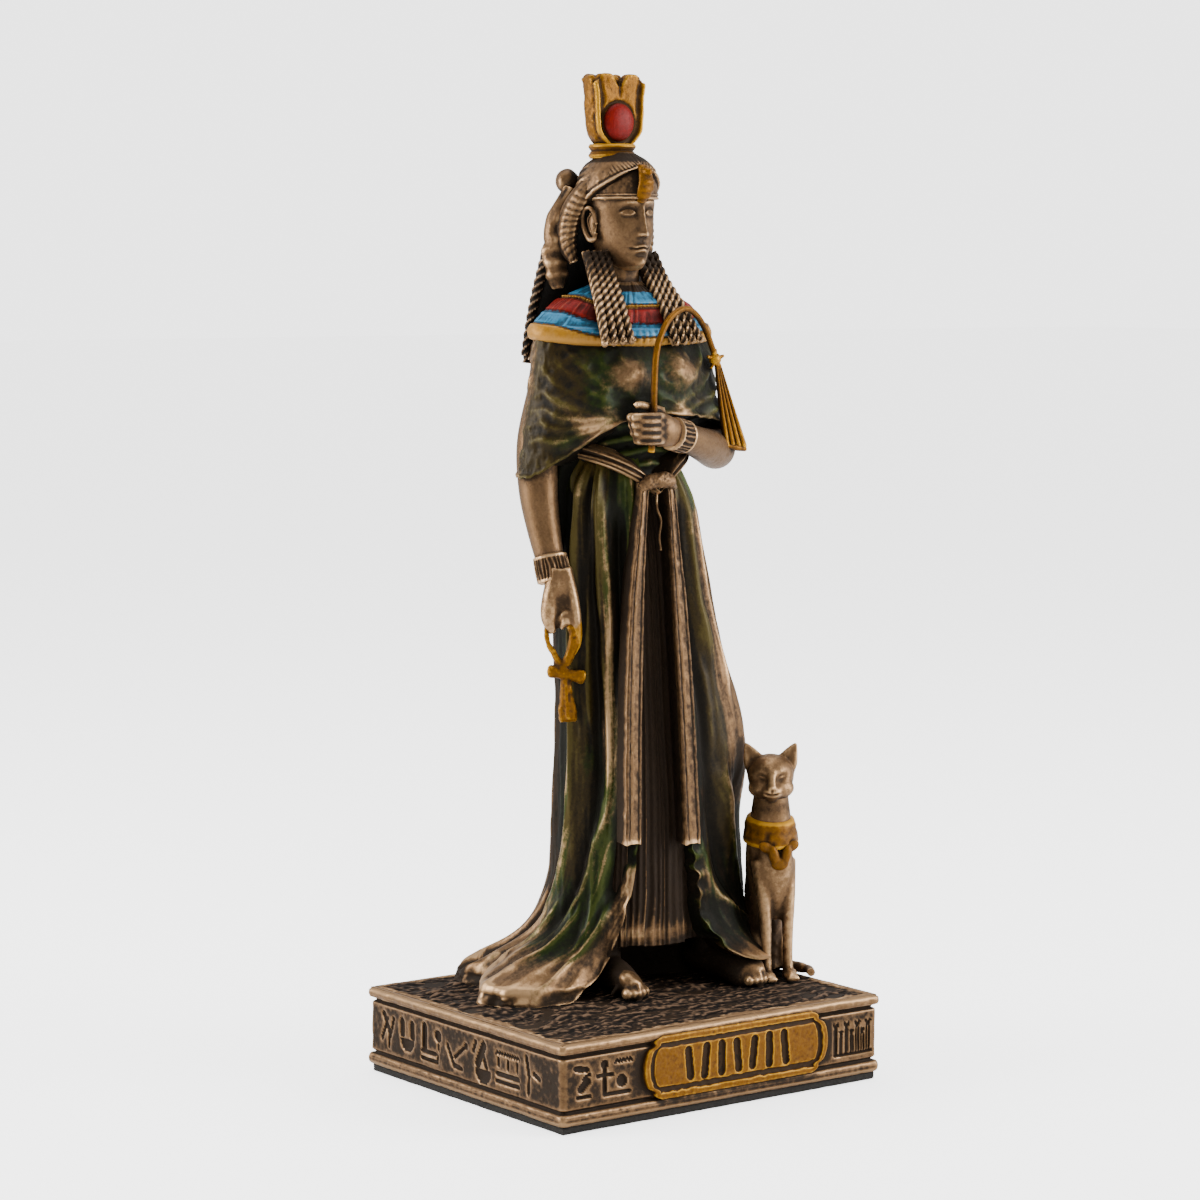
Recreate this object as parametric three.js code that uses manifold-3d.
// Painted cold-cast figurine: a robed goddess with a seated cat on a rectangular plinth.
// Millimetres, +Z up, the front faces -Y and the figure's left side is +X.
// The origin is the middle of the underside of the foam pad.
import * as THREE from 'three';
import { mergeVertices } from 'three/addons/utils/BufferGeometryUtils.js';
import Module from 'manifold-3d';

// Driving dimensions
const TOTAL_HEIGHT = 88.9;
const PLINTH_WIDTH = 35;
const PLINTH_DEPTH = 30;
const PLINTH_TOP = 7.8;
const PAD_THICKNESS = 0.7;
const PAD_INSET = 0.35;
const MOULDING_HEIGHT = 1.05;
const MOULDING_BEVEL = 0.3;
const GROOVE = 0.35;
const BAND_INSET = 0.25;
const CORE_INSET = 0.55;
const STROKE_DEPTH = 0.2;

// Main levels of the figure
const ROBE_FOOT = 7.5;
const ROBE_TOP = 56;
const HEM_LEVEL = 11.8;
const UNDERSKIRT_TOP = 48;
const WAIST_LEVEL = 52;
const CHEST_LEVEL = 66;
const CAPE_LEVEL = 54;
const CAPE_FRONT_LEVEL = 58.6;
const MANTLE_TOP = 68.4;
const CHIN_LEVEL = 71.6;
const BROW_LEVEL = 77.6;
const SKULL_TOP = 81.4;
const CROWN_BASE = 82.2;

// Main axes of the figure, seen from above
const NECK = { x: 2.8, y: 4.3 };
const HEAD = { x: 2.6, y: 4.0 };
const CROWN = { x: 2.4, y: 4.7 };
const CAT = { x: 14.1, y: -3.5 };

const wasm = await Module();
wasm.setup();

// Turns a closed geometry into a solid whose faces point outwards.
function solid(geometry) {
  const bare = geometry.index ? geometry.clone() : mergeVertices(geometry.clone());
  bare.deleteAttribute('normal');
  bare.deleteAttribute('uv');
  const merged = mergeVertices(bare, 1e-5);
  const vertProperties = Float32Array.from(merged.attributes.position.array);
  const triVerts = Uint32Array.from(merged.index.array);
  if (signedVolume(vertProperties, triVerts) < 0) {
    for (let i = 0; i < triVerts.length; i += 3) {
      [triVerts[i], triVerts[i + 1]] = [triVerts[i + 1], triVerts[i]];
    }
  }
  return new wasm.Manifold(new wasm.Mesh({ numProp: 3, vertProperties, triVerts }));
}

function signedVolume(points, triangles) {
  const corner = (k) => new THREE.Vector3().fromArray(points, 3 * triangles[k]);
  let volume = 0;
  for (let i = 0; i < triangles.length; i += 3) {
    volume += corner(i).dot(corner(i + 1).cross(corner(i + 2)));
  }
  return volume;
}

function join(shapes) {
  return shapes.reduce((whole, shape) => whole.add(shape));
}

// A closed skin: a capped cylinder grid, with every ring point placed by place(angle, t).
// Angle 0 looks to the front (-Y), +90 degrees to +X, and t runs from 0 to 1.
function skin(sides, steps, place) {
  const geometry = new THREE.CylinderGeometry(1, 1, 1, sides, steps);
  const position = geometry.attributes.position;
  const middle = (t) => {
    const centre = new THREE.Vector3();
    for (let i = 0; i < sides; i += 1) {
      centre.add(place((2 * Math.PI * i) / sides, t));
    }
    return centre.divideScalar(sides);
  };
  const ends = [middle(0), middle(1)];
  for (let i = 0; i < position.count; i += 1) {
    const x = position.getX(i);
    const z = position.getZ(i);
    const t = position.getY(i) + 0.5;
    const onAxis = Math.hypot(x, z) < 0.5;
    const point = onAxis ? ends[Math.round(t)] : place(Math.atan2(x, z), t);
    position.setXYZ(i, point.x, point.y, point.z);
  }
  return solid(geometry);
}

// Smooth value at t in a row of stations [t, value...], eased between neighbours.
function station(rows, t) {
  const last = rows.length - 1;
  if (t <= rows[0][0]) {
    return rows[0].slice(1);
  }
  if (t >= rows[last][0]) {
    return rows[last].slice(1);
  }
  const k = rows.findIndex((row) => row[0] > t) - 1;
  const before = rows[Math.max(k - 1, 0)];
  const from = rows[k];
  const to = rows[k + 1];
  const after = rows[Math.min(k + 2, last)];
  const span = to[0] - from[0];
  const u = (t - from[0]) / span;
  return from.slice(1).map((value, i) => {
    const slopeFrom = ((to[i + 1] - before[i + 1]) / (to[0] - before[0])) * span;
    const slopeTo = ((after[i + 1] - value) / (after[0] - from[0])) * span;
    const u2 = u * u;
    const u3 = u2 * u;
    return (2 * u3 - 3 * u2 + 1) * value + (u3 - 2 * u2 + u) * slopeFrom
      + (3 * u2 - 2 * u3) * to[i + 1] + (u3 - u2) * slopeTo;
  });
}

// Point of a section made of four quarter ellipses, with its own reach to each side.
function oval(centreX, centreY, right, left, front, back, angle) {
  const s = Math.sin(angle);
  const c = Math.cos(angle);
  return [centreX + (s > 0 ? left : right) * s, centreY - (c > 0 ? front : back) * c];
}

const bell = (offset, width) => Math.exp(-((offset / width) ** 2));
const degrees = (value) => (value * Math.PI) / 180;
const turnBetween = (a, b) => Math.atan2(Math.sin(a - b), Math.cos(a - b));

// A limb: a round section of changing radius along a smooth path.
// widths holds [t, radius across, radius along the second direction] rows.
function limb(points, widths, sides, steps) {
  const path = new THREE.CatmullRomCurve3(points.map((p) => new THREE.Vector3(...p)));
  const frames = path.computeFrenetFrames(steps, false);
  return skin(sides, steps, (angle, t) => {
    const k = Math.round(t * steps);
    const [across, along] = station(widths, t);
    return path.getPointAt(t)
      .addScaledVector(frames.normals[k], across * Math.sin(angle))
      .addScaledVector(frames.binormals[k], (along ?? across) * Math.cos(angle));
  });
}

function egg(centre, radii, segments) {
  const geometry = new THREE.SphereGeometry(1, segments, Math.max(4, Math.round(segments * 0.6)));
  geometry.rotateX(Math.PI / 2);
  geometry.scale(...radii);
  geometry.translate(...centre);
  return solid(geometry);
}

function block(width, depth, height, centre) {
  const geometry = new THREE.BoxGeometry(width, depth, height);
  geometry.translate(...centre);
  return solid(geometry);
}

// An outline in the X-Z plane, thickened towards -Y from the plane y.
function panel(shape, y, thickness, bevel = 0, curveSegments = 6) {
  const geometry = new THREE.ExtrudeGeometry(shape, {
    depth: thickness - 2 * bevel,
    bevelEnabled: bevel > 0,
    bevelSize: bevel,
    bevelOffset: -bevel,
    bevelThickness: bevel,
    bevelSegments: 1,
    curveSegments,
  });
  geometry.rotateX(Math.PI / 2);
  geometry.translate(0, y - bevel, 0);
  return solid(geometry);
}

function shapeOf(points) {
  return new THREE.Shape(points.map(([x, y]) => new THREE.Vector2(x, y)));
}

// Plinth

function slab(inset, bottom, top, bevel) {
  const x = PLINTH_WIDTH / 2 - inset;
  const y = PLINTH_DEPTH / 2 - inset;
  const outline = shapeOf([[-x, -y], [x, -y], [x, y], [-x, y]]);
  const geometry = new THREE.ExtrudeGeometry(outline, {
    depth: top - bottom - 2 * bevel,
    bevelEnabled: bevel > 0,
    bevelSize: bevel,
    bevelOffset: -bevel,
    bevelThickness: bevel,
    bevelSegments: 1,
  });
  geometry.translate(0, 0, bottom + bevel);
  return geometry;
}

const bandBottom = PAD_THICKNESS + MOULDING_HEIGHT + GROOVE;
const bandTop = PLINTH_TOP - MOULDING_HEIGHT - GROOVE;
const bandMiddle = (bandBottom + bandTop) / 2;

function plinthBody() {
  const overlap = 0.3;
  return join([
    solid(slab(CORE_INSET, PAD_THICKNESS + overlap, PLINTH_TOP - overlap, 0)),
    solid(slab(0, PAD_THICKNESS, PAD_THICKNESS + MOULDING_HEIGHT, MOULDING_BEVEL)),
    solid(slab(BAND_INSET, bandBottom, bandTop, 0)),
    solid(slab(0, PLINTH_TOP - MOULDING_HEIGHT, PLINTH_TOP, MOULDING_BEVEL)),
  ]);
}

// Shallow marks of the frieze, in turn: an upright rod, two flat bars, a square and a low block.
// place(along, up, wide, high) gives a block cut into one side of the band.
function friezeMarks(start, end, count, place) {
  const marks = [];
  const pitch = (end - start) / count;
  for (let i = 0; i < count; i += 1) {
    const along = start + (i + 0.5) * pitch;
    const kind = i % 4;
    if (kind === 0) {
      marks.push(place(along, bandMiddle, 0.5, 3));
    } else if (kind === 1) {
      marks.push(place(along, bandMiddle + 0.9, pitch * 0.7, 0.45));
      marks.push(place(along, bandMiddle - 0.9, pitch * 0.7, 0.45));
    } else if (kind === 2) {
      marks.push(place(along, bandMiddle + 0.3, 1.1, 1.1));
    } else {
      marks.push(place(along, bandMiddle - 0.6, pitch * 0.65, 1.2));
    }
  }
  return marks;
}

// Marks on the four sides, from start to end of each run, with their number.
function frieze() {
  const front = -PLINTH_DEPTH / 2 + BAND_INSET;
  const side = PLINTH_WIDTH / 2 - BAND_INSET;
  const depth = 2 * STROKE_DEPTH;
  const onFront = (along, up, wide, high) => block(wide, depth, high, [along, front, up]);
  const onBack = (along, up, wide, high) => block(wide, depth, high, [along, -front, up]);
  const onRight = (along, up, wide, high) => block(depth, wide, high, [-side, along, up]);
  const onLeft = (along, up, wide, high) => block(depth, wide, high, [side, along, up]);
  return join([
    ...friezeMarks(-16.6, -10.6, 4, onFront),
    ...friezeMarks(12.6, 16.4, 3, onFront),
    ...friezeMarks(-13.6, 13.6, 9, onRight),
    ...friezeMarks(-13.6, 13.6, 5, onLeft),
    ...friezeMarks(-15.6, 15.6, 5, onBack),
  ]);
}

// Name plate on the front: a frame with rounded ends around a sunk field with upright strokes.
const PLATE = { x: 1.2, z: 4.45, width: 20.2, height: 5.5, proud: 0.1, border: 0.75 };
const STROKES = { count: 7, pitch: 1.75, width: 0.5, height: 2.3 };

function plateOutline(inset) {
  const x = PLATE.width / 2 - inset;
  const z = PLATE.height / 2 - inset;
  const end = 2.2;
  const shape = new THREE.Shape();
  shape.moveTo(PLATE.x - x + end, PLATE.z - z);
  shape.lineTo(PLATE.x + x - end, PLATE.z - z);
  shape.quadraticCurveTo(PLATE.x + x, PLATE.z - z * 0.7, PLATE.x + x, PLATE.z);
  shape.quadraticCurveTo(PLATE.x + x, PLATE.z + z * 0.7, PLATE.x + x - end, PLATE.z + z);
  shape.lineTo(PLATE.x - x + end, PLATE.z + z);
  shape.quadraticCurveTo(PLATE.x - x, PLATE.z + z * 0.7, PLATE.x - x, PLATE.z);
  shape.quadraticCurveTo(PLATE.x - x, PLATE.z - z * 0.7, PLATE.x - x + end, PLATE.z - z);
  return shape;
}

function namePlate() {
  const face = -PLINTH_DEPTH / 2 - PLATE.proud;
  const body = panel(plateOutline(0), face + 1, 1, 0, 3);
  const field = panel(plateOutline(PLATE.border), face + STROKE_DEPTH, 2 * STROKE_DEPTH, 0, 3);
  const strokes = [];
  const { count, pitch, width, height } = STROKES;
  for (let i = 0; i < count; i += 1) {
    const x = PLATE.x + (i - (count - 1) / 2) * pitch;
    strokes.push(block(width, 2 * STROKE_DEPTH, height, [x, face + STROKE_DEPTH, PLATE.z]));
  }
  return body.subtract(field).subtract(join(strokes));
}

// Robe

// [level, centre x, centre y, reach to -X, reach to +X, reach to the front, reach to the back]
const ROBE = [
  [7.8, 3.5, 3.0, 8.6, 8.7, 6.0, 8.0],
  [13, 4.0, 2.7, 8.2, 8.8, 5.6, 6.9],
  [20, 4.4, 2.5, 8.5, 8.9, 5.1, 6.2],
  [31, 4.6, 2.4, 8.6, 8.6, 4.7, 5.8],
  [42, 3.6, 3.2, 7.5, 7.2, 4.6, 4.9],
  [49.5, 3.3, 3.4, 7.0, 6.2, 4.1, 4.6],
  [56, 3.0, 3.7, 5.7, 4.9, 3.7, 3.8],
];
// Lobes of the hem: [angle, reach, width in degrees, level of the lip, height over which it falls].
const TRAIN = [
  [-86, 8.2, 27, 8.9, 2.4],
  [-128, 7.2, 13, 9.2, 3.2],
  [-154, 2.6, 12, 8.9, 2.4],
  [37, 4.9, 15, 10.2, 2.6],
  [72, 2.7, 20, 11.5, 8],
];
const FOLD_COUNT = 9;
const FOLD_DEPTH = 0.42;

function robePoint(angle, z) {
  const [cx, cy, right, left, front, back] = station(ROBE, z);
  const [x, y] = oval(cx, cy, right, left, front, back, angle);
  let reach = 0;
  for (const [at, out, width, lip, fall] of TRAIN) {
    const spread = Math.exp(-Math.max(z - lip, 0) / fall);
    reach += out * spread * bell(turnBetween(angle, degrees(at)), degrees(width));
  }
  const low = THREE.MathUtils.smoothstep(z, 10, 20);
  const high = THREE.MathUtils.smoothstep(z, 40, ROBE_TOP);
  const depth = FOLD_DEPTH * (0.5 + low * (1 - 0.6 * high));
  const out = reach + depth * Math.cos(FOLD_COUNT * angle + 0.02 * z);
  return new THREE.Vector3(x + out * Math.sin(angle), y - out * Math.cos(angle), z);
}

// Edges of the front opening: [level, x of the edge towards -X, x of the edge towards +X]
const OPENING = [
  [7, -7.4, 12.6],
  [8.6, -6.9, 12.2],
  [12, -3.7, 9.2],
  [15, -2.4, 7.6],
  [20, -0.6, 5.8],
  [34, 1.2, 5.2],
  [47, 3.0, 4.2],
];

function openingCut() {
  const depth = 14;
  const inner = 1.5;
  const crowding = 1.6;
  const foot = OPENING[0][0];
  const rise = OPENING[OPENING.length - 1][0] - foot;
  return skin(4, 7, (angle, t) => {
    const z = foot + rise * t ** crowding;
    const [right, left] = station(OPENING, z);
    const s = Math.sin(angle + Math.PI / 4);
    const c = Math.cos(angle + Math.PI / 4);
    return new THREE.Vector3(s > 0 ? left : right, c > 0 ? -depth : inner, z);
  });
}

// Space under the pleated skirt, round the feet.
function footHollow() {
  const foot = OPENING[0][0];
  const outline = shapeOf([[-7.4, -9], [12, -9], [9.2, 3], [6, 5], [-1.5, 5], [-4.6, 3]]);
  const geometry = new THREE.ExtrudeGeometry(outline, { depth: HEM_LEVEL - foot, bevelEnabled: false });
  geometry.translate(0, 0, foot);
  return solid(geometry);
}

// The rings crowd together towards the train.
function robe() {
  const rise = ROBE_TOP - ROBE_FOOT;
  const crowding = 1.45;
  const outer = skin(45, 11, (angle, t) => robePoint(angle, ROBE_FOOT + rise * t ** crowding));
  return outer.subtract(openingCut()).subtract(footHollow());
}

// [level, centre x, centre y, half width, front, back]
const UNDERSKIRT = [
  [HEM_LEVEL, 3.5, 3.2, 7.2, 5.3, 4.5],
  [30, 3.6, 3.0, 6.2, 4.7, 4.2],
  [UNDERSKIRT_TOP, 3.4, 3.3, 5.2, 4.0, 3.8],
];

function underskirt() {
  const sides = 36;
  const pleat = 0.16;
  const rise = UNDERSKIRT_TOP - HEM_LEVEL;
  return skin(sides, 2, (angle, t) => {
    const z = HEM_LEVEL + rise * t;
    const [cx, cy, half, front, back] = station(UNDERSKIRT, z);
    const [x, y] = oval(cx, cy, half, half, front, back, angle);
    const out = pleat * Math.cos((sides / 2) * angle);
    return new THREE.Vector3(x + out * Math.sin(angle), y - out * Math.cos(angle), z);
  });
}

// A foot from toe to heel on the ground, with its ankle.
function foot(toe, heel, width) {
  const sole = PLINTH_TOP - 0.3;
  const instep = [(toe[0] + heel[0]) / 2, (toe[1] + heel[1]) / 2];
  const widths = [
    [0, 0.7, 0.75],
    [0.15, width / 2, 1.1],
    [0.55, width / 2.2, 1.5],
    [0.9, width / 2.4, 1.8],
    [1, 0.8, 0.9],
  ];
  const body = limb(
    [[...toe, sole + 0.9], [instep[0], instep[1], sole + 1.4], [...heel, sole + 1.6]],
    widths,
    8,
    5,
  );
  const ankleX = heel[0] * 0.75 + toe[0] * 0.25;
  const ankleY = heel[1] * 0.75 + toe[1] * 0.25;
  const ankle = limb(
    [[ankleX, ankleY, sole + 1], [ankleX, ankleY, HEM_LEVEL + 1.5]],
    [[0, 1.5], [1, 1.5]],
    8,
    1,
  );
  const ground = block(20, 24, 4, [instep[0], instep[1], sole - 2]);
  return body.add(ankle).subtract(ground);
}

// Girdle, knot and the two ends that hang from it down the front of the robe.
function belt() {
  const knot = [2.9, -1.2, 53.0];
  const ties = [
    [[1.6, -0.9, 53], [0.6, -1.5, 47.6], [-0.08, -2.0, 42.7], [-1.07, -2.9, 33.3], [-1.64, -3.5, 21.5]],
    [[4.2, -0.8, 53], [4.43, -1.5, 47.4], [4.56, -2.1, 42.5], [4.73, -2.95, 32.9], [4.98, -3.5, 20.9]],
  ];
  const width = 0.85;
  const girdleLevel = 52.4;
  const hanging = ties.map((path) => skin(6, 5, (angle, t) => {
    const curve = new THREE.CatmullRomCurve3(path.map((p) => new THREE.Vector3(...p)));
    const point = curve.getPointAt(t);
    const wide = width * (0.6 + 0.4 * t);
    return new THREE.Vector3(
      point.x + wide * Math.sin(angle),
      point.y - 0.55 * Math.cos(angle) + 0.25,
      point.z,
    );
  }));
  const girdle = skin(18, 2, (angle, t) => {
    const dip = Math.abs(turnBetween(angle, 0));
    const z = girdleLevel + 4.1 * (1 - Math.exp(-dip / 0.7)) + 1.7 * (t - 0.5);
    const swell = 0.5 - 0.35 * Math.abs(2 * t - 1);
    const [x, y] = oval(3.1, 3.7, 5.7, 5.7, 4.1, 4.1, angle);
    return new THREE.Vector3(x + swell * Math.sin(angle), y - swell * Math.cos(angle), z);
  });
  return join([...hanging, girdle, egg(knot, [2.1, 0.6, 0.75], 8)]);
}

// Torso, mantle and collar

function torso() {
  // [level, centre x, centre y, half width, front, back]
  const sections = [
    [WAIST_LEVEL, 3.0, 3.7, 4.8, 3.6, 3.3],
    [56, 3.0, 3.8, 4.6, 3.6, 3.2],
    [60, 3.0, 4.0, 5.2, 4.0, 3.4],
    [CHEST_LEVEL, 3.0, 4.2, 6.0, 3.8, 3.4],
  ];
  return skin(16, 3, (angle, t) => {
    const z = WAIST_LEVEL + (CHEST_LEVEL - WAIST_LEVEL) * t;
    const [cx, cy, half, front, back] = station(sections, z);
    const [x, y] = oval(cx, cy, half, half, front, back, angle);
    return new THREE.Vector3(x, y, z);
  });
}

// [share of the way down, half width, front, back]
const MANTLE = [
  [0, 3.2, 2.6, 2.6],
  [0.08, 7.6, 3.2, 3.4],
  [0.2, 9.3, 4.2, 3.8],
  [0.45, 9.7, 5.3, 4.2],
  [0.75, 10.5, 4.8, 4.5],
  [1, 11.0, 3.9, 4.6],
];

function mantleEdge(angle) {
  const front = Math.max(Math.cos(angle), 0) ** 1.5;
  return CAPE_LEVEL + (CAPE_FRONT_LEVEL - CAPE_LEVEL) * front;
}

function mantle() {
  const bustAngle = degrees(28);
  const bustLevel = 62.4;
  return skin(32, 6, (angle, t) => {
    const [half, front, back] = station(MANTLE, t);
    const z = MANTLE_TOP - (MANTLE_TOP - mantleEdge(angle)) * t;
    const [x, y] = oval(NECK.x + 0.2, NECK.y - 0.1, half, half, front, back, angle);
    const sides = bell(turnBetween(angle, -bustAngle), 0.3) + bell(turnBetween(angle, bustAngle), 0.3);
    const bust = 0.9 * bell(z - bustLevel, 2.6) * sides;
    const fold = 0.18 * t * Math.cos(11 * angle + 5 * t);
    const out = bust + fold;
    return new THREE.Vector3(x + out * Math.sin(angle), y - out * Math.cos(angle), z);
  });
}

// Broad collar: a low dome from the neck to a thick rim.
function collar() {
  // [share of the way in, half width, front, back, level]
  const profile = [
    [0, 9.2, 4.6, 4.2, 64.9],
    [0.12, 9.5, 4.9, 4.4, 65.4],
    [0.24, 9.2, 4.7, 4.2, 66.2],
    [0.6, 6.6, 4.0, 3.6, 68.2],
    [1, 2.2, 2.2, 2.2, 69.8],
  ];
  return skin(24, 4, (angle, t) => {
    const [half, front, back, level] = station(profile, t);
    const [x, y] = oval(NECK.x + 0.1, NECK.y, half, half, front, back, angle);
    const drop = 0.6 * Math.max(Math.cos(angle), 0) * (1 - t);
    return new THREE.Vector3(x, y, level + 0.8 - drop);
  });
}

// Arms and what the hands hold

function rightArm() {
  const arm = limb(
    [[-4.4, 4.6, 61], [-5.5, 5.0, 55.5], [-5.8, 4.3, 51], [-5.3, 2.8, 45.5]],
    [[0, 1.9], [0.35, 1.85], [0.6, 1.65], [1, 1.1]],
    8,
    5,
  );
  const bracelet = limb(
    [[-5.5, 3.15, 47.0], [-5.3, 2.6, 44.6]],
    [[0, 1.55], [1, 1.5]],
    8,
    1,
  );
  const palm = limb(
    [[-5.35, 2.8, 45.8], [-5.35, 2.2, 42.8], [-5.4, 1.6, 40.0]],
    [[0, 1.05, 1.05], [0.45, 1.25, 1.45], [0.8, 1.2, 1.3], [1, 0.7, 0.8]],
    8,
    4,
  );
  const fingers = [0, 1, 2, 3].map((i) => limb(
    [
      [-6.4 + 0.35 * i, 1.9 + 0.3 * i, 41.8],
      [-6.2 + 0.45 * i, 0.7 + 0.2 * i, 40.2],
      [-5.6 + 0.45 * i, 1.0 + 0.2 * i, 38.9 + 0.2 * i],
    ],
    [[0, 0.42], [1, 0.38]],
    5,
    2,
  ));
  return join([arm, bracelet, palm, ...fingers]);
}

function ankh() {
  // Centre, level of the cross bar, and half sizes
  const middle = -5.4;
  const bar = 36.2;
  const half = 0.62;
  const arm = 1.95;
  const foot = 32.0;
  const cross = shapeOf([
    [middle - 0.45, bar], [middle - arm, bar + half], [middle - arm, bar - half], [middle - 0.5, bar - 0.4],
    [middle - 0.75, foot], [middle + 0.75, foot],
    [middle + 0.5, bar - 0.4], [middle + arm, bar - half], [middle + arm, bar + half], [middle + 0.45, bar],
    [middle + 0.5, bar + 1.2], [middle - 0.5, bar + 1.2],
  ]);
  const loop = new THREE.Shape();
  loop.absellipse(middle, bar + 2.9, 1.5, 2.5, 0, 2 * Math.PI);
  const eye = new THREE.Path();
  eye.absellipse(middle, bar + 3.0, 0.75, 1.6, 0, 2 * Math.PI);
  loop.holes.push(eye);
  return join([panel(cross, 1.6, 0.9), panel(loop, 1.6, 0.9, 0, 5)]);
}

function leftArm() {
  const arm = limb(
    [[11.4, 4.8, 61.5], [12.6, 4.4, 57.4], [12.4, 2.4, 55.4], [9.4, 0.2, 56.0], [5.6, -1.7, 57.2]],
    [[0, 1.9], [0.3, 1.8], [0.5, 1.75], [0.75, 1.5], [1, 1.2]],
    8,
    6,
  );
  const bracelet = limb([[7.6, -0.8, 56.6], [6.0, -1.6, 57.1]], [[0, 1.5], [1, 1.4]], 8, 1);
  const palm = limb(
    [[5.9, -1.6, 57.2], [3.9, -2.1, 57.6], [2.6, -2.0, 57.8]],
    [[0, 1.2, 1.2], [0.5, 1.5, 1.7], [1, 1.0, 1.5]],
    8,
    3,
  );
  const fingers = [0, 1, 2, 3].map((i) => limb(
    [
      [3.4, -3.1, 59.1 - 0.88 * i],
      [1.7, -3.4, 59.2 - 0.88 * i],
      [0.9, -2.4, 59.2 - 0.85 * i],
      [1.8, -1.4, 59.1 - 0.8 * i],
    ],
    [[0, 0.5], [1, 0.45]],
    5,
    3,
  ));
  const thumb = limb(
    [[3.6, -1.6, 59.6], [2.2, -1.9, 60.3], [1.0, -2.3, 60.1]],
    [[0, 0.5], [1, 0.42]],
    5,
    2,
  );
  return join([arm, bracelet, palm, ...fingers, thumb]);
}

// A handle bent over the shoulder, with a bead and three hanging strands.
function flail() {
  const handle = limb(
    [
      [1.4, -2.3, 55.8], [1.4, -2.6, 60], [1.8, -2.5, 64.6], [3.0, -2.2, 66.8],
      [5.9, -1.5, 68.3], [8.4, -0.8, 66.6], [10.0, -0.3, 64.2],
    ],
    [[0, 0.3], [1, 0.3]],
    5,
    11,
  );
  const bead = egg([10.1, -0.2, 63.8], [0.8, 0.6, 0.75], 7);
  const strands = [-1, 0, 1].map((i) => limb(
    [[10.3 + 0.15 * i, -0.2, 63.4], [11.4 + 0.45 * i, 0.1, 59.6], [12.7 + 0.8 * i, 0.3, 55.4 + 0.1 * i]],
    [[0, 0.25], [1, 0.46]],
    5,
    2,
  ));
  return join([handle, bead, ...strands]);
}

// Head, hair and crown

function head() {
  // [share of the height, half width, front reach, back reach]
  const sections = [
    [0, 0.9, 1.6, 0.6],
    [0.1, 1.75, 3.0, 1.6],
    [0.25, 2.35, 3.45, 2.7],
    [0.42, 2.75, 3.5, 3.4],
    [0.58, 2.95, 3.4, 3.8],
    [0.75, 2.9, 3.3, 3.8],
    [0.9, 2.2, 2.6, 3.0],
    [1, 0.8, 0.9, 1.0],
  ];
  const height = SKULL_TOP - CHIN_LEVEL;
  const at = (share) => CHIN_LEVEL + height * share;
  const skull = skin(16, 8, (angle, t) => {
    const [half, front, back] = station(sections, t);
    const [x, y] = oval(HEAD.x, HEAD.y, half, half, front, back, angle);
    return new THREE.Vector3(x, y, at(t));
  });
  const front = HEAD.y - 3.4;
  const nose = egg([HEAD.x, front - 0.1, at(0.4)], [0.42, 0.6, 1.0], 6);
  const lips = egg([HEAD.x, front + 0.15, at(0.22)], [0.85, 0.35, 0.3], 6);
  const ears = [-1, 1].map((side) => egg([HEAD.x + side * 2.95, 4.1, at(0.4)], [0.4, 0.7, 1.25], 6));
  const neck = limb(
    [[NECK.x, NECK.y, 67.5], [NECK.x - 0.1, NECK.y + 0.1, 74]],
    [[0, 2.0], [1, 1.85]],
    14,
    1,
  );
  return join([skull, nose, lips, ...ears, neck]);
}

function hair() {
  const cap = egg([HEAD.x, HEAD.y + 0.5, BROW_LEVEL + 0.3], [3.35, 3.75, 3.95], 12)
    .subtract(block(9, 6, 6, [HEAD.x, -2.2, BROW_LEVEL - 3.2]));
  // [share of the way down, centre y, half width, half depth]
  const fall = [
    [0, 5.4, 3.4, 3.0],
    [0.25, 6.8, 5.0, 2.7],
    [0.5, 7.7, 5.8, 2.1],
    [0.75, 8.4, 6.5, 1.5],
    [1, 8.8, 7.0, 1.1],
  ];
  const top = 79;
  const end = 63.4;
  const strands = 10;
  const back = skin(2 * strands, 4, (angle, t) => {
    const [y, half, depth] = station(fall, t);
    const out = 0.14 * Math.cos(strands * angle);
    return new THREE.Vector3(
      HEAD.x + (half + out) * Math.sin(angle),
      y - (depth + out) * Math.cos(angle),
      top - (top - end) * t,
    );
  });
  const wings = [-1, 1].map((side) => limb(
    [
      [HEAD.x + side * 2.9, 4.8, 79.4], [HEAD.x + side * 4.0, 6.0, 76.6],
      [HEAD.x + side * 4.4, 6.2, 74.0], [HEAD.x + side * 4.0, 5.4, 72.0],
    ],
    [[0, 0.7], [0.6, 1.1], [1, 0.5]],
    5,
    3,
  ));
  const knobs = [-1, 1].map((side) => egg([HEAD.x + side * 3.5, 7.3, 79.4], [1.15, 1.15, 1.2], 6));
  const lappets = [-1, 1].map((side) => skin(8, 3, (angle, t) => {
    const y = station([[0, 2.6], [0.55, 0.5], [1, -1.0]], t)[0];
    const spread = side < 0 ? 4.0 : 1.6;
    const x = HEAD.x + side * (spread + (3.9 - spread) * t);
    const half = 1.15 + 0.45 * t;
    return new THREE.Vector3(x + half * Math.sin(angle), y - 0.75 * Math.cos(angle), 72.8 - 7.8 * t);
  }));
  return join([cap, back, ...wings, ...knobs, ...lappets]);
}

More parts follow.
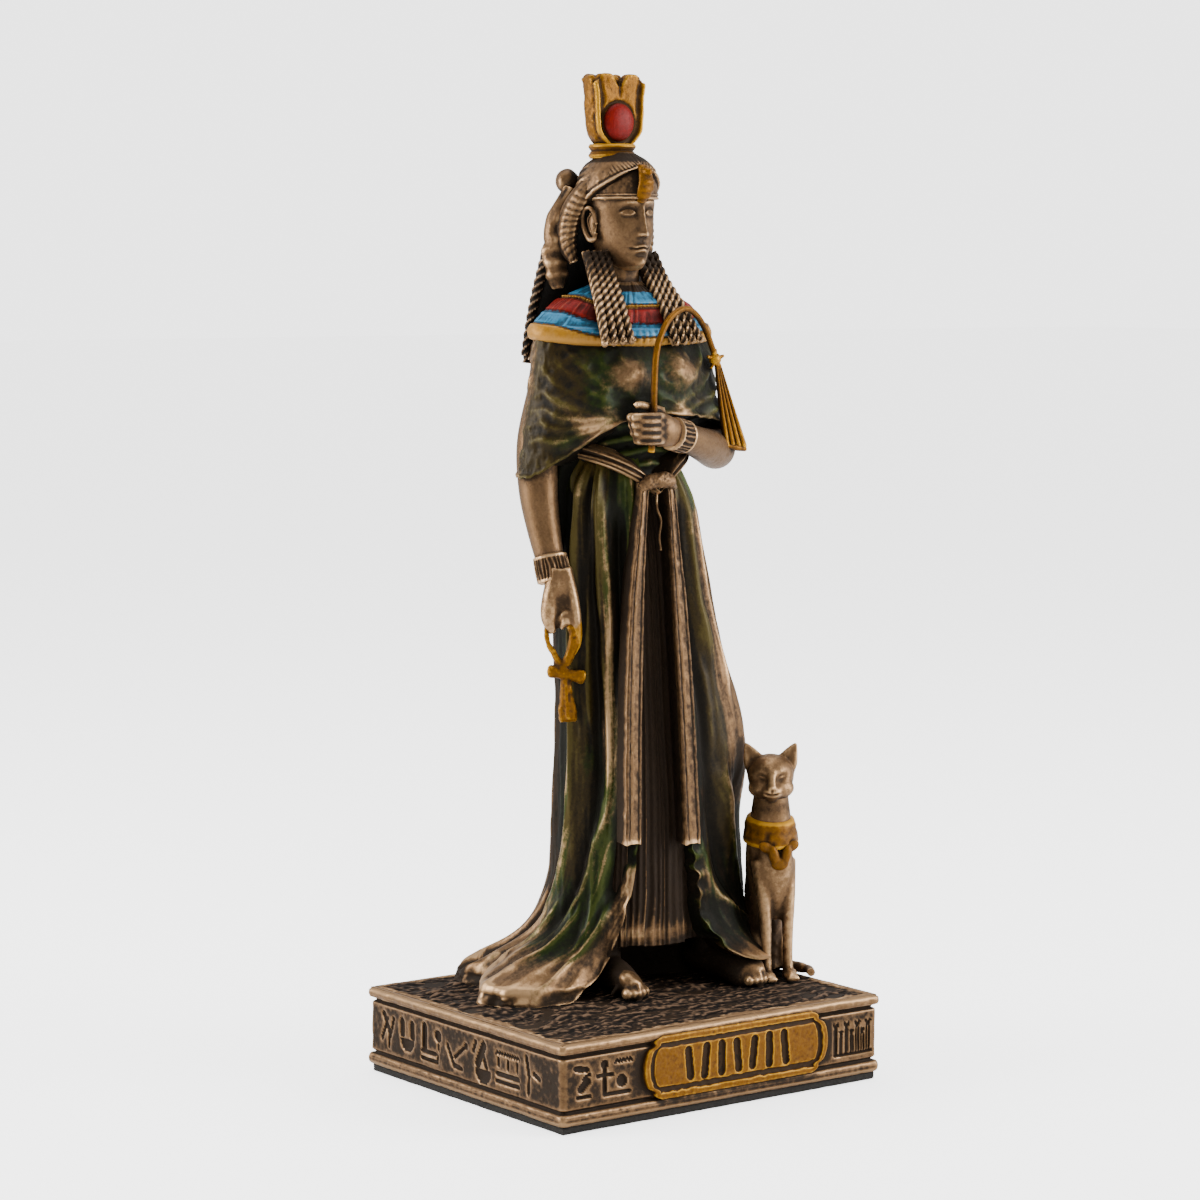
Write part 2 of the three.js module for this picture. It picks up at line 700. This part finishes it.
// Plumes on a ring, with the disc in front and the rearing serpent on the brow.
function crown() {
  const half = 2.65;
  const foot = 1.3;
  const base = CROWN_BASE + 0.5;
  const flare = 0.2;
  const shape = new THREE.Shape();
  shape.moveTo(CROWN.x - foot, base);
  shape.quadraticCurveTo(CROWN.x - half, base + 0.8, CROWN.x - half + 0.1, base + 2.4);
  shape.lineTo(CROWN.x - half - flare, TOTAL_HEIGHT - 0.1);
  shape.quadraticCurveTo(CROWN.x - 1.4, TOTAL_HEIGHT + 0.1, CROWN.x - 0.25, TOTAL_HEIGHT);
  shape.lineTo(CROWN.x, TOTAL_HEIGHT - 1.4);
  shape.lineTo(CROWN.x + 0.25, TOTAL_HEIGHT);
  shape.quadraticCurveTo(CROWN.x + 1.4, TOTAL_HEIGHT + 0.1, CROWN.x + half + flare, TOTAL_HEIGHT - 0.1);
  shape.lineTo(CROWN.x + half - 0.1, base + 2.4);
  shape.quadraticCurveTo(CROWN.x + half, base + 0.8, CROWN.x + foot, base);
  const depth = 2;
  const plumes = panel(shape, CROWN.y + depth / 2, depth, 0.25, 5);
  const ring = limb(
    [[CROWN.x, CROWN.y + 0.2, SKULL_TOP - 0.5], [CROWN.x, CROWN.y + 0.2, base + 0.1]],
    [[0, 2.0], [1, 1.95]],
    14,
    1,
  );
  const disc = egg([CROWN.x - 0.2, CROWN.y - 1.1, 84.6], [1.62, 0.6, 1.62], 10);
  const serpent = limb(
    [[HEAD.x, 0.7, 77.4], [HEAD.x, 0.0, 78.8], [HEAD.x, 0.5, 80.4]],
    [[0, 0.4], [0.5, 0.6], [1, 0.5]],
    6,
    3,
  );
  return join([plumes, ring, disc, serpent]);
}

// Cat, seated and facing the front

function cat() {
  const { x, y } = CAT;
  const body = limb(
    [[x, y + 1.9, 9.0], [x, y + 1.4, 14], [x, y + 0.3, 18.8], [x, y - 0.1, 24.6]],
    [[0, 2.0, 2.6], [0.3, 1.9, 2.5], [0.62, 2.2, 2.1], [0.85, 1.9, 1.8], [1, 1.5, 1.5]],
    10,
    4,
  );
  const headEgg = egg([x - 0.2, y - 0.3, 26.0], [2.15, 2.05, 2.05], 10);
  const muzzle = egg([x - 1.2, y - 1.6, 25.0], [0.9, 0.9, 0.75], 6);
  const ears = [[-1.5, 0.7, 27.8], [1.2, -1.3, 27.9]].map(([across, away, level]) => {
    const geometry = new THREE.ConeGeometry(1.0, 2.6, 5);
    geometry.rotateX(Math.PI / 2);
    geometry.translate(x + across, y + away, level);
    return solid(geometry);
  });
  const legs = [-1, 1].map((side) => limb(
    [[x + side * 1.0, y - 1.0, 18], [x + side * 1.1, y - 1.6, 12], [x + side * 1.05, y - 1.9, 7.9]],
    [[0, 1.1], [0.5, 0.6], [1, 0.55]],
    6,
    3,
  ));
  const paws = [-1, 1].map((side) => egg([x + side * 1.05, y - 2.4, 8.2], [0.7, 1.1, 0.7], 6));
  const haunches = [-1, 1].map((side) => egg([x + side * 1.1, y + 1.7, 10.5], [1.1, 2.3, 2.6], 7));
  const tail = limb(
    [[x + 0.4, y + 3.4, 8.1], [x + 2.0, y + 3.4, 8.1], [x + 2.7, y, 8.1], [x + 2.3, y - 2.8, 8.1]],
    [[0, 0.6], [0.7, 0.5], [1, 0.35]],
    5,
    5,
  );
  const necklace = limb([[x, y, 20.6], [x, y - 0.1, 22.4]], [[0, 2.4], [1, 2.1]], 10, 1);
  const pendant = egg([x - 0.7, y - 2.1, 19.7], [0.9, 0.5, 0.9], 6);
  return join([body, headEgg, muzzle, ...ears, ...legs, ...paws, ...haunches, tail, necklace, pendant]);
}

function mesh(name, shape, material) {
  const { vertProperties, triVerts } = shape.getMesh();
  const geometry = new THREE.BufferGeometry();
  geometry.setAttribute('position', new THREE.BufferAttribute(vertProperties, 3));
  geometry.setIndex(new THREE.BufferAttribute(triVerts, 1));
  geometry.computeVertexNormals();
  const made = new THREE.Mesh(geometry, material);
  made.name = name;
  return made;
}

const bronze = new THREE.MeshStandardMaterial({ color: 0x8c735a, roughness: 0.45, metalness: 0.5 });
const foam = new THREE.MeshStandardMaterial({ color: 0x15130f, roughness: 0.95, metalness: 0 });

const statue = join([
  plinthBody().subtract(frieze()),
  namePlate(),
  robe(),
  underskirt(),
  foot([-1.6, -4.4], [-0.2, 4.0], 3.0),
  foot([10.6, -6.3], [9.6, 2.6], 3.0),
  belt(),
  torso(),
  mantle(),
  collar(),
  rightArm(),
  ankh(),
  leftArm(),
  flail(),
  head(),
  hair(),
  crown(),
  cat(),
]);

const group = new THREE.Group();
group.add(mesh('statue', statue, bronze));
group.add(mesh('base_pad', solid(slab(PAD_INSET, 0, PAD_THICKNESS, 0)), foam));

export default group;
